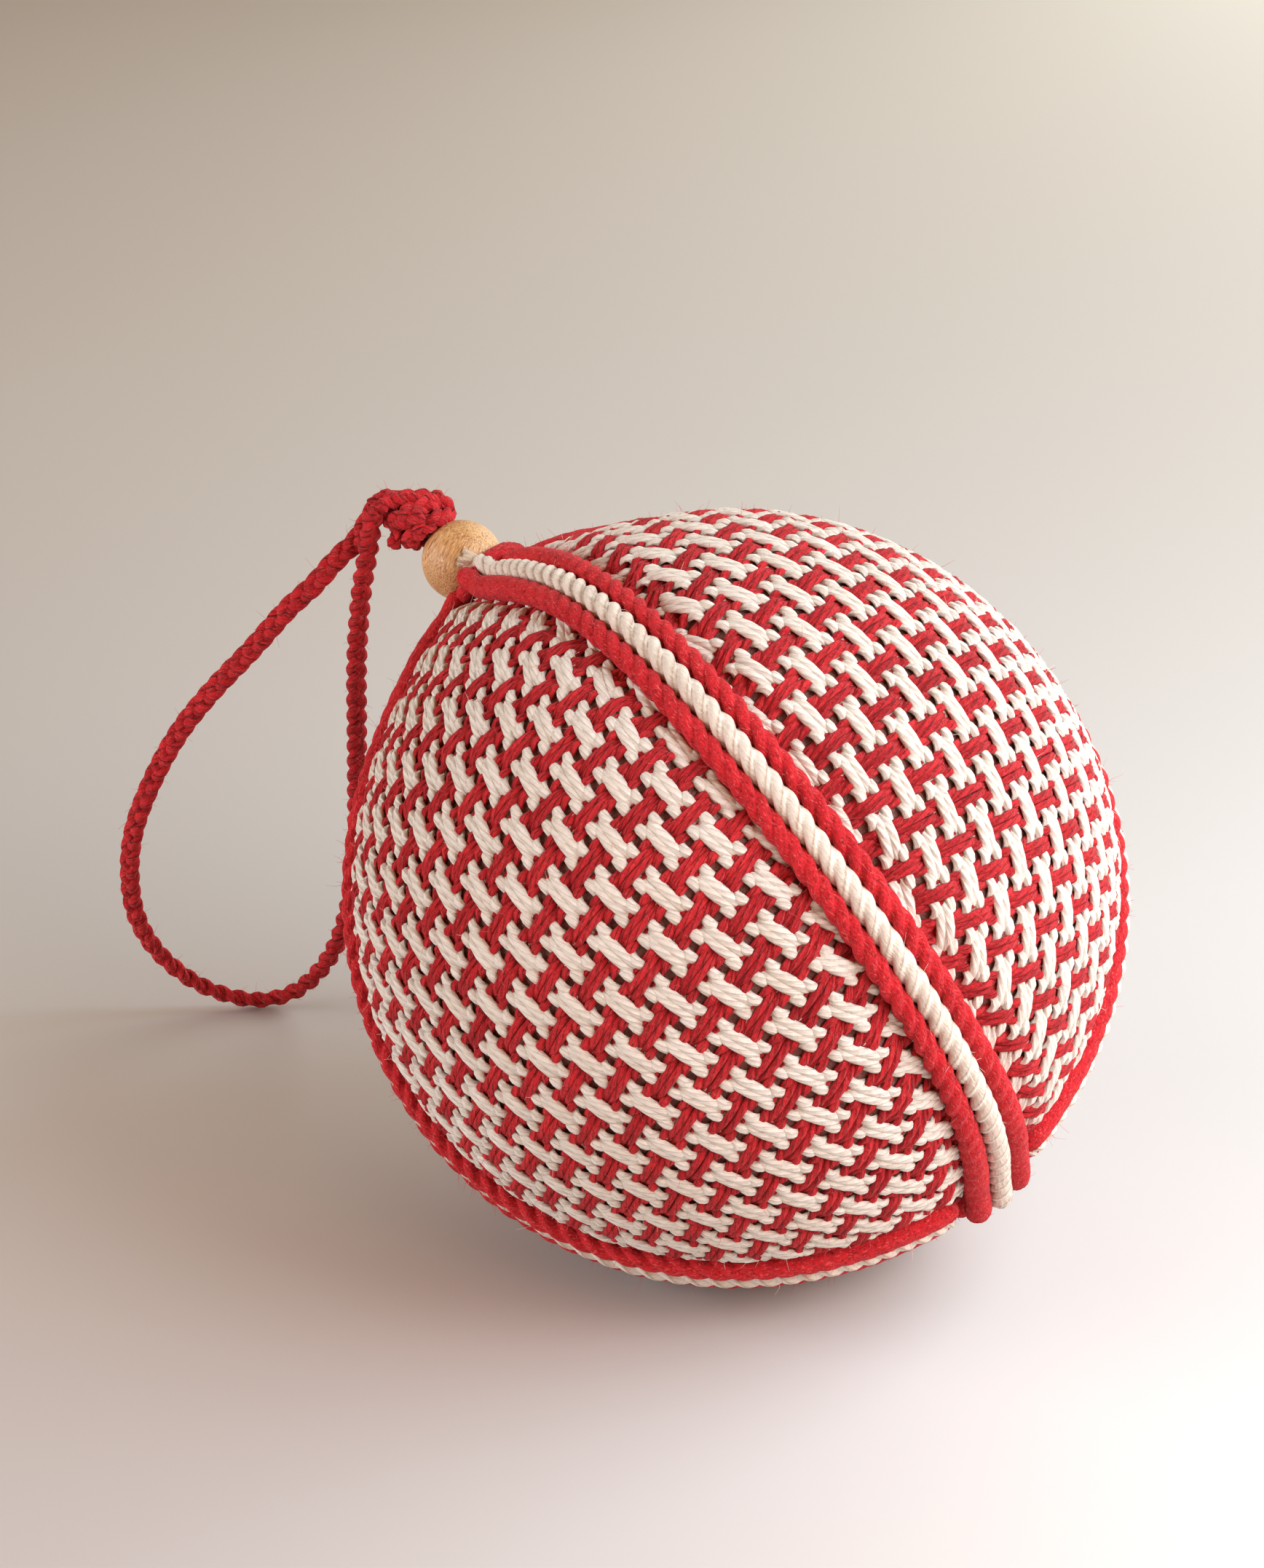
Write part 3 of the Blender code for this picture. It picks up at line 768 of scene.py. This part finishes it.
def trimLine(seam, offset, radius, line):
    near = seam in ("left", "right") or offset > 0
    start = math.degrees(math.asin(trim["nearStart" if near else "start"] / (line + ball["topTip"])))
    over = seam == "front"
    end = 180 + math.degrees((trim["overrun"] if over else -trim["butt"]) / line)
    length = math.radians(end - start) * line
    polar = np.linspace(start, end, round(length / trim["step"]) + 1)
    squeeze = 1 - trim["squeeze"] * swell(polar - start, trim["squeezeSpread"])
    lift = (trim["nearLift"] if near else 1) * trim["topLift"] * swell(polar - start, trim["topLiftSpread"])
    if over:
        lift = lift + trim["endLift"] * swell(end - polar, trim["endLiftSpread"])
    reach = line + tip(polar) + lift
    if seam == "left" and offset == 0:
        (first, rise), (last, fall) = trim["sinkFrom"], trim["sinkTo"]
        reach = reach - trim["sink"] * smoothStep((polar - first) / rise) * smoothStep((last - polar) / fall)
    angle = seamAngle(seam, polar)
    close = 1 - trim["close"] * awayFromEnds(polar, end, trim["closeStart"], trim["closeSpread"])
    level = np.stack((-np.sin(angle), np.cos(angle), np.zeros_like(angle)), 1)
    sideways = level * (offset * squeeze * close)[:, None]
    points = unit(onBall(reach, polar, angle) + sideways) * reach[:, None]
    return points, radius * squeeze


def roundEnds(points, radii):  # a blunt round at each end
    for index, inward in ((0, 1), (-1, -2)):
        end, size = points[index], radii[index]
        out = unit(end - points[inward])
        more = np.array([end + out * size * rise for rise, width in trim["ends"]])
        sizes = np.array([size * width for rise, width in trim["ends"]])
        if index == 0:
            points, radii = np.concatenate((more[::-1], points)), np.concatenate((sizes[::-1], radii))
        else:
            points, radii = np.concatenate((points, more)), np.concatenate((radii, sizes))
    return points, radii


def cordRoots(kind, points, out, radii):  # loose fibres may grow on a cord's outer side
    side = unit(np.cross(np.gradient(points, axis=0), out))
    for turn in np.linspace(-fuzz["cordWrap"], math.pi + fuzz["cordWrap"], fuzz["cordPlaces"]):
        around = side * math.cos(turn) + out * math.sin(turn)
        roots[kind].append((points + around * radii[:, None] * fuzz["cordDepth"], around))


def makeTrim(seam, kind, offset, red, rng):
    colour, yarn = ("red", "trimRed") if red else ("cream", "trimCream")
    points, radii = trimLine(seam, offset * trim["spacing"], trim[colour + "Radius"], trim[colour + "Line"])
    along = np.concatenate(([0], np.cumsum(np.linalg.norm(np.diff(points, axis=0), axis=1))))
    points, radii = roundEnds(points, radii * trim["fuller"])
    beyond = np.arange(1, len(trim["ends"]) + 1)
    along = np.concatenate((-beyond[::-1], along, along[-1] + beyond))
    middle = awayFromEnds(along, along[-1], trim["slimStart"], trim["slimSpread"])
    tighter = trim["layTop"] * swell(along, trim["laySpread"])
    lay = trim["lay"] * (1 - tighter - trim["layEnd"] * swell(along[-1] - along, trim["laySpread"]))
    turns = np.cumsum(np.gradient(along) / lay)
    twist = -turns * 2 * math.pi + rng.uniform(0, 6)
    fresh = middle if red else smoothStep((along - trim["wornStart"]) / trim["wornSpread"])
    worn = trim[colour + "Worn"]
    relief = (worn + (1 - worn) * fresh)[:, None, None]
    if red:
        radii = radii * (1 - trim["slim"] * middle)
    plied, smooth = pliedSection(trim["sides"])[None], ellipse(trim["sides"], trim["round"], trim["round"])[None]
    uneven = (1 + wander(rng, along, trim["uneven"]))[:, None, None]
    section = (plied * relief + smooth * (1 - relief)) * radii[:, None, None] * uneven
    rope = Rope()
    rope.tube(sweep(points, unit(points), section, twist), turns * trim["lay"], 0.5)
    cordRoots(yarn, points, unit(points), radii)
    piece = rope.build(f"twist_{seam}_{kind}", finishes[yarn])
    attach(piece, "root")
    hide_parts(f"trim_{seam}_{kind}")


def makeTrims():
    kinds = (("red_a", -1, True), ("cream", 0, False), ("red_b", 1, True))
    for seamIndex, seam in enumerate(seams):
        for cordIndex, (kind, offset, red) in enumerate(kinds):
            rng = np.random.default_rng(trim["seed"] + seamIndex * 3 + cordIndex)
            makeTrim(seam, kind, offset, red, rng)


makeTrims()
stage("seam cords")


# Collar: red cord round the foot of the bead, under the starts of the seam cords
collar = {
    "seed": 55, "from": "left", "to": "right", "polar": 4.0,  # seams, and where their angles are read
    "across": (4.7, 5.5), "height": (51.9, 52.9), "radius": (1.1, 1.75),  # at its left and right ends
    "swing": (-0.3, 1.6),  # how the left end's values turn into the right end's, which hold below 0 and above 1
    "steps": 36, "overlap": 0.1, "stray": 0.05, "uneven": 0.08, "sides": 16, "twist": 0.7, "spacing": 0.4,
    "lean": 2, "tone": 0.4,
}


def makeCollar():
    rng = np.random.default_rng(collar["seed"])
    first, last = (seamAngle(collar[key], collar["polar"]) for key in ("from", "to"))
    overlap, steps = collar["overlap"], collar["steps"]
    angle = np.linspace(first - overlap, first + (last - first) % (2 * math.pi) + overlap, steps)
    swing = smoothStep(np.linspace(*collar["swing"], steps))
    ends = (collar[key] for key in ("across", "height", "radius"))
    across, height, thick = (low + (high - low) * swing for low, high in ends)
    points = np.stack((across * np.cos(angle), across * np.sin(angle), height), 1)
    points = points + rng.normal(size=points.shape) * collar["stray"]
    points, radii = roundEnds(points, thick)
    along = np.arange(len(points)) * collar["spacing"]
    out = unit(points * (1, 1, 0) + (0, 0, collar["lean"]))
    width = radii * (1 + wander(rng, along, collar["uneven"]))
    section = ellipse(collar["sides"], 1, 1)[None] * width[:, None, None]
    rope = Rope()
    rope.tube(sweep(points, out, section, -along * collar["twist"]), along, collar["tone"])
    cordRoots("trimRed", points, out, radii)
    piece = rope.build("collar_cord", finishes["trimRed"])
    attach(piece, "root")


makeCollar()
stage("collar")


# Frayed end of the cream cord on the bead
fray = {
    "seed": 77, "from": (2.9, 5.0, 53.9), "middle": (0, 0, 56.8), "reach": 5.5,
    "strands": 7, "length": (2.2, 3.4), "rings": 7, "fan": (20, 110),  # the fan in degrees
    "thick": 0.62, "taper": (1.2, 0.55), "flat": 0.6, "stray": 0.08, "tone": 0.2,
    "lift": 0.5, "liftLength": 3,  # a strand rises by up to this off the bead, over this length
}


def makeFray():
    rng = np.random.default_rng(fray["seed"])
    rope = Rope()
    start, middle = np.array(fray["from"]), np.array(fray["middle"])
    normal = unit(start - middle)
    side = unit(np.cross((0, 0, 1), normal))
    up = np.cross(normal, side)
    for turn in np.radians(np.linspace(*fray["fan"], fray["strands"])):
        ahead = up * math.cos(turn) - side * math.sin(turn)
        along = np.linspace(0, rng.uniform(*fray["length"]), fray["rings"])
        line = start + along[:, None] * ahead + rng.normal(size=3) * fray["stray"]
        out = unit(line - middle)
        line = middle + out * (fray["reach"] + rng.uniform(0, fray["lift"]) * along / fray["liftLength"])[:, None]
        width = fray["thick"] * np.linspace(*fray["taper"], fray["rings"])
        section = ellipse(6, 1, fray["flat"])[None] * width[:, None, None]
        rope.tube(sweep(line, out, section), along, fray["tone"])
    piece = rope.build("frayed_end", finishes["frayed"], squash=False)
    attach(piece, "root")


makeFray()
stage("frayed end")


# Bead
bead = {
    "radius": 5.3, "bore": 1.6, "boreCut": 1.02, "rim": 1.78, "height": 56.8, "edge": 0.3,
    "segments": 56, "levels": 36, "boreLevels": 4, "edgeSegments": 3,
    "grainAxes": ((0.50, 0.36, 0.79), (0.87, -0.20, -0.45), (0.0, 0.91, -0.42)),  # along the grain, across, deep
    "deep": (0.50, 0.24, 0.075), "light": (0.76, 0.47, 0.21),
    "ring": {"stretch": 0.2, "scale": 420.0, "gain": 1.6, "drop": 0.3},  # broad bands of dark and light wood
    "line": {"stretch": 0.16, "scale": 4200.0, "from": 0.47, "edge": 5.0, "colour": (0.30, 0.125, 0.035), "rise": 0.6},
    # painted highlights: pale flecks along the grain
    "glint": {"stretch": 0.1, "shift": 0.3, "scale": 7000.0, "from": 0.56, "edge": 7.0, "share": 0.7,
             "colour": (0.92, 0.68, 0.40), "rise": 0.4},
    "bump": 0.00016,
}


def beadFinish():
    f = Finish("beadWood", 0.45, Coat_Weight=0.08, Coat_Roughness=0.4)
    place = f.node("TexCoord", out="Object")
    along, across, deep = (
        f.node("VectorMath", {"operation": "DOT_PRODUCT"}, (place, axis), 1) for axis in bead["grainAxes"])
    ring, line, glint = bead["ring"], bead["line"], bead["glint"]
    lines = f.noise(f.join(along * line["stretch"], across, deep), line["scale"], 2.0, 0.6)
    glints = f.noise(f.join(along * glint["stretch"] + glint["shift"], across, deep), glint["scale"], 1.0)
    rings = f.noise(f.join(along * ring["stretch"], across, deep), ring["scale"], 2.0)
    colour = f.mix((rings * ring["gain"] - ring["drop"]).clamp(), bead["deep"], bead["light"])
    colour = f.mix(((lines - line["from"]) * line["edge"]).clamp(), colour, line["colour"])
    # pale flecks along the grain, painted highlights on the wood
    colour = f.mix(((glints - glint["from"]) * glint["edge"]).clamp() * glint["share"], colour, glint["colour"])
    return f.finish(colour, lines * line["rise"] + glints * glint["rise"], bead["bump"])


def makeBead():
    bpy.ops.object.select_all(action="DESELECT")
    segments, levels, radius = bead["segments"], bead["levels"], bead["radius"] * mm
    bpy.ops.mesh.primitive_uv_sphere_add(segments=segments, ring_count=levels, radius=radius)
    piece = bpy.context.object
    piece.name = "wooden_bead"
    edge = bead["bore"] * mm * bead["boreCut"]
    bpy.ops.object.mode_set(mode="EDIT")
    bpy.ops.mesh.select_mode(type="FACE")
    bpy.ops.mesh.select_all(action="DESELECT")
    bpy.ops.object.mode_set(mode="OBJECT")
    for face in piece.data.polygons:  # both ends are cut open to the width of the bore
        face.select = math.hypot(*face.center[:2]) < edge
    bpy.ops.object.mode_set(mode="EDIT")
    bpy.ops.mesh.delete(type="FACE")
    bpy.ops.mesh.select_mode(type="EDGE")
    bpy.ops.mesh.select_non_manifold()
    bpy.ops.mesh.bridge_edge_loops(number_cuts=bead["boreLevels"])
    bpy.ops.mesh.select_all(action="SELECT")
    bpy.ops.mesh.normals_make_consistent(inside=False)
    bpy.ops.mesh.select_all(action="DESELECT")
    bpy.ops.object.mode_set(mode="OBJECT")
    rim = [v.index for v in piece.data.vertices if abs(math.hypot(v.co.x, v.co.y) - bead["rim"] * mm) < 0.0001]
    for e in piece.data.edges:
        e.select = all(i in rim for i in e.vertices)
    bpy.ops.object.mode_set(mode="EDIT")
    bpy.ops.mesh.bevel(offset=bead["edge"] * mm, segments=bead["edgeSegments"])
    bpy.ops.object.mode_set(mode="OBJECT")
    bpy.ops.object.shade_smooth()
    piece.location = toWorld(np.array((0, 0, bead["height"]))) * mm
    piece.rotation_euler = Vector(axes[2]).to_track_quat("Z", "Y").to_euler()
    bpy.ops.object.transform_apply(location=True, rotation=True, scale=True)
    piece.data.materials.append(beadFinish())
    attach(piece, "root")
    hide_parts("bead")


makeBead()
stage("bead")


# Knot
knot = {
    "middle": (0.55, -0.58), "left": -38.5,
    "rings": ((62.8, 2.9, 6.0), (65.4, 3.0, 15.0), (67.6, 1.9, 30.0)),  # height, radius, tilt in degrees
    "ringTurn": 2.1, "ringSteps": 22,
    "cords": (
        ((2.53, -3.62, 69.77), (2.9, -3.0, 70.3), (1.7, -1.7, 69.9), (0.3, -0.2, 67.8),
         (-0.7, 1.1, 66.4), (-1.8, 1.8, 65.0), (-2.4, 1.8, 63.6), (-2.1, 1.1, 62.6)),
        ((5.37, -0.93, 68.45), (4.1, 0.0, 68.6), (2.4, 1.4, 67.4), (0.7, 2.4, 66.1), (-1.2, 2.6, 64.9),
         (-2.6, 1.7, 63.9)),
        ((3.4, -2.6, 67.6), (4.2, -1.0, 66.2), (4.3, 0.8, 65.0), (3.2, 2.6, 64.2)),
        ((2.0, -2.0, 65.8), (3.2, -3.3, 64.9), (4.0, -4.2, 64.1)),
    ),
    "cord": {"cycle": 6.2, "sideways": 0.62, "over": 0.42, "strand": (0.70, 0.60)},
    "step": 0.5, "shift": 1.7,  # mm between rings, and of plait from one cord to the next
    "tone": 0.35, "toneStep": 0.05, "coreTone": 0.1, "stemTone": 0.3,
    "core": (2.7, 3.3, 65.2), "coreRings": 13,  # radius, half height, height of its middle
    "stem": (1.15, 50.2, 62.0), "stemRings": 20,  # radius, low and high end
}


def makeKnot():
    rope = Rope()
    across, tall, height = knot["core"]
    middle = np.array((*knot["middle"], height))
    routes = list(knot["cords"])
    for low, radius, tilt in knot["rings"]:
        a = np.linspace(0, knot["ringTurn"] * math.pi, knot["ringSteps"])
        rise = radius * math.tan(math.radians(tilt)) * np.cos(a - math.radians(knot["left"]))
        routes.append(np.stack((middle[0] + radius * np.cos(a), middle[1] + radius * np.sin(a), low + rise), 1))
    for index, route in enumerate(routes):
        points, along = smoothRoute(route, knot["step"])
        ahead = unit(np.gradient(points, axis=0))
        out = unit(points - middle)
        out = unit(out - ahead * (out * ahead).sum(1, keepdims=True))
        tone = knot["tone"] + knot["toneStep"] * index
        plait(rope, points, along + index * knot["shift"], out, knot["cord"], tone)
    count, facing = knot["coreRings"], np.array((1.0, 0, 0))
    levels = np.linspace(-1, 1, count + 2)[1:-1]
    axisLine = np.stack((np.full(count, middle[0]), np.full(count, middle[1]), height + tall * levels), 1)
    section = ellipse(20, 1, 1)[None] * (across * np.sqrt(1 - levels ** 2))[:, None, None]
    rope.tube(sweep(axisLine, facing, section), levels * tall, knot["coreTone"])
    count = knot["stemRings"]
    thick, low, high = knot["stem"]
    stemLine = np.stack((np.zeros(count), np.zeros(count), np.linspace(low, high, count)), 1)
    rope.tube(sweep(stemLine, facing, ellipse(12, thick, thick)), stemLine[:, 2], knot["stemTone"])
    piece = rope.build("knot_plait", finishes["loopRed"], squash=False)
    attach(piece, "root")
    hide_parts("knot")


makeKnot()
stage("knot")
growFuzz()
stage("loose fibres")
